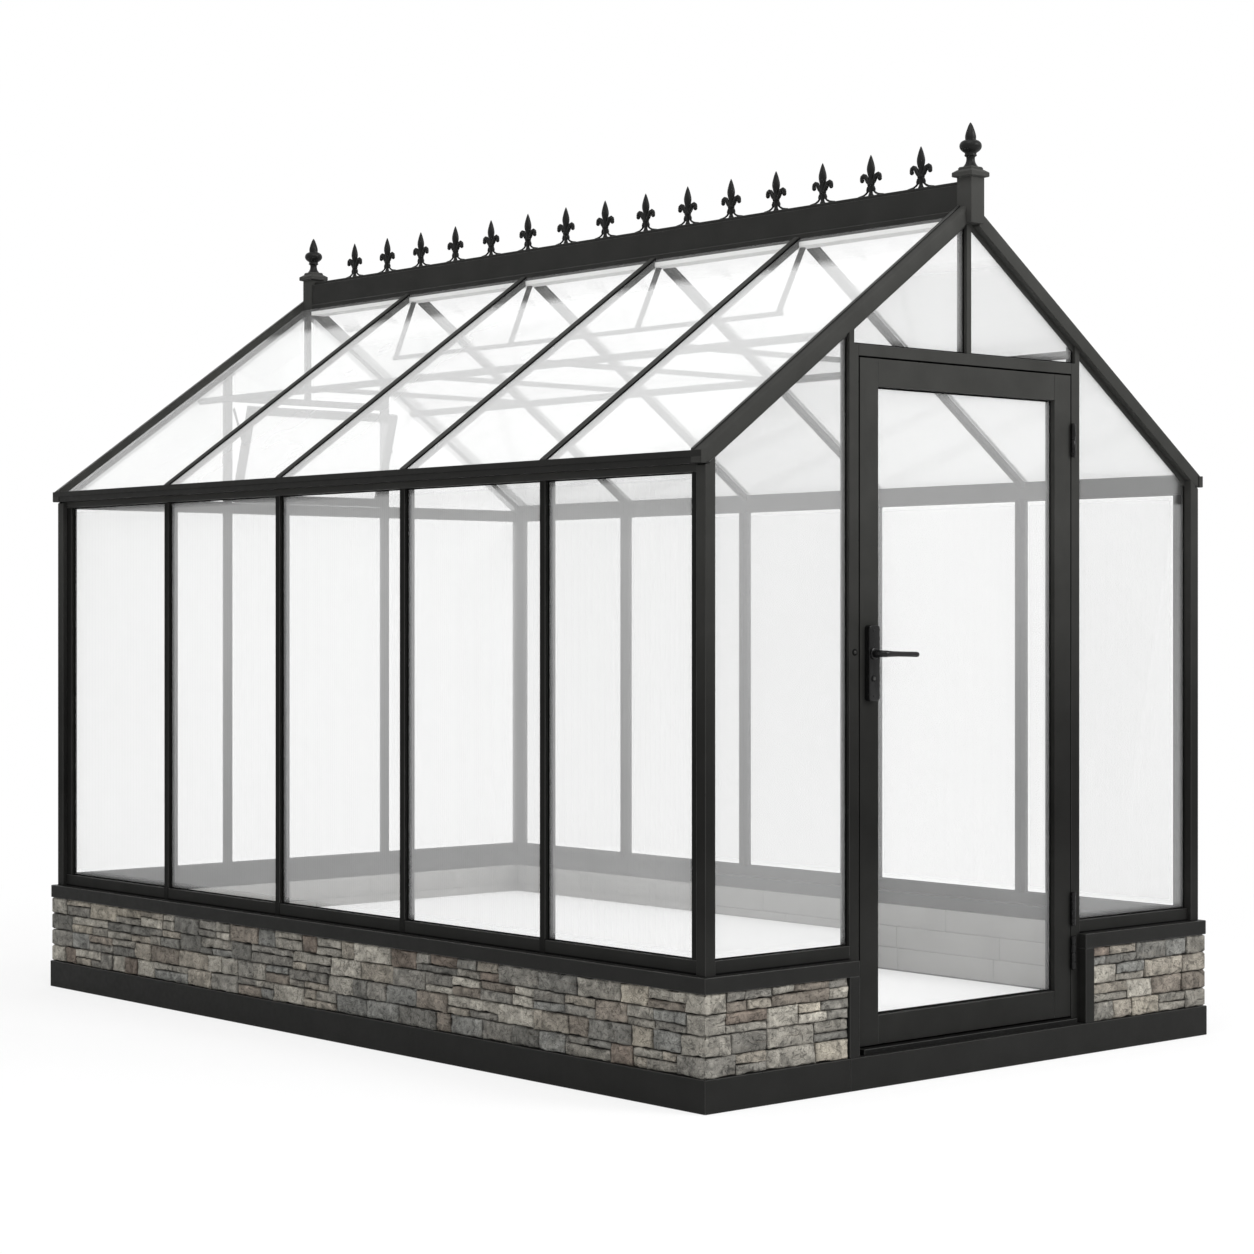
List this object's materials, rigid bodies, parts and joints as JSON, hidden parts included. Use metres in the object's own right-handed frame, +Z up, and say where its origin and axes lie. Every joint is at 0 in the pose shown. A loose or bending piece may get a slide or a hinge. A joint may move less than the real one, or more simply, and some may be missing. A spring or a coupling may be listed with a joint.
{
  "type": "glass greenhouse",
  "caption": "Glazed garden greenhouse with a gable roof on a low stone-faced plinth, ridge cresting with finials, and a hinged glazed door with a lever handle.",
  "frame": {"origin": "on the ground under the middle of the building", "axes": "+Z up, door gable towards -Y, length along Y, +X to the right of someone facing the door"},
  "size_m": [2.124, 3.41, 2.7108],
  "materials": {
    "coating": "satin",
    "stone": "rough",
    "clear_glass": "polished",
    "ribbed_glass": "ribbed",
    "fitting": "satin"
  },
  "bodies": {
    "greenhouse": {"skirt_left": "coating", "skirt_right": "coating", "skirt_rear": "coating", "skirt_front": "coating", "plinth_left": "stone", "plinth_right": "stone", "plinth_rear": "stone", "plinth_front": "stone", "cap_left": "coating", "cap_right": "coating", "cap_rear": "coating", "cap_front": "coating", "doorway_trims": "coating", "sills": "coating", "corner_posts": "coating", "wall_bars_left": "coating", "wall_bars_right": "coating", "head_rails": "coating", "gutter_left": "coating", "gutter_right": "coating", "front_rafter_left": "coating", "front_rafter_right": "coating", "rear_rafter_left": "coating", "rear_rafter_right": "coating", "roof_bars_left": "coating", "roof_bars_right": "coating", "ridge_beam": "coating", "ridge_posts": "coating", "finials": "coating", "crest_rail": "coating", "cresting": "coating", "purlins": "coating", "tie_bars": "coating", "hangers": "coating", "hanging_rail": "coating", "threshold": "coating", "door_jambs": "coating", "door_header": "coating", "front_mullion": "coating", "rear_uprights": "coating", "rear_eaves_bar": "coating", "rear_transom": "coating", "rear_mullion": "coating", "vent_sash": "coating", "vent_pane": "clear_glass", "wall_glass_left": "ribbed_glass", "wall_glass_right": "ribbed_glass", "front_glass": "ribbed_glass", "rear_glass": "ribbed_glass", "roof_glass_left": "clear_glass", "roof_glass_right": "clear_glass", "hinge_pins": "fitting"},
    "door": {"door_stiles": "coating", "door_rails": "coating", "door_pane": "clear_glass", "handle_plates": "fitting", "hinge_knuckles": "fitting"},
    "lever": {"lever": "fitting"}
  },
  "joints": [
    {"name": "door_swing", "type": "hinge", "parent": "greenhouse", "child": "door", "pos_m": [0.4505, -1.6645, 1.06], "axis": [0, 0, 1], "range_deg": [0, 110]},
    {"name": "lever_turn", "type": "hinge", "parent": "door", "child": "lever", "pos_m": [-0.412, -1.638, 1.195], "axis": [0, 1, 0], "range_deg": [0, 40], "stiffness_Nm_per_rad": 0.6}
  ]
}
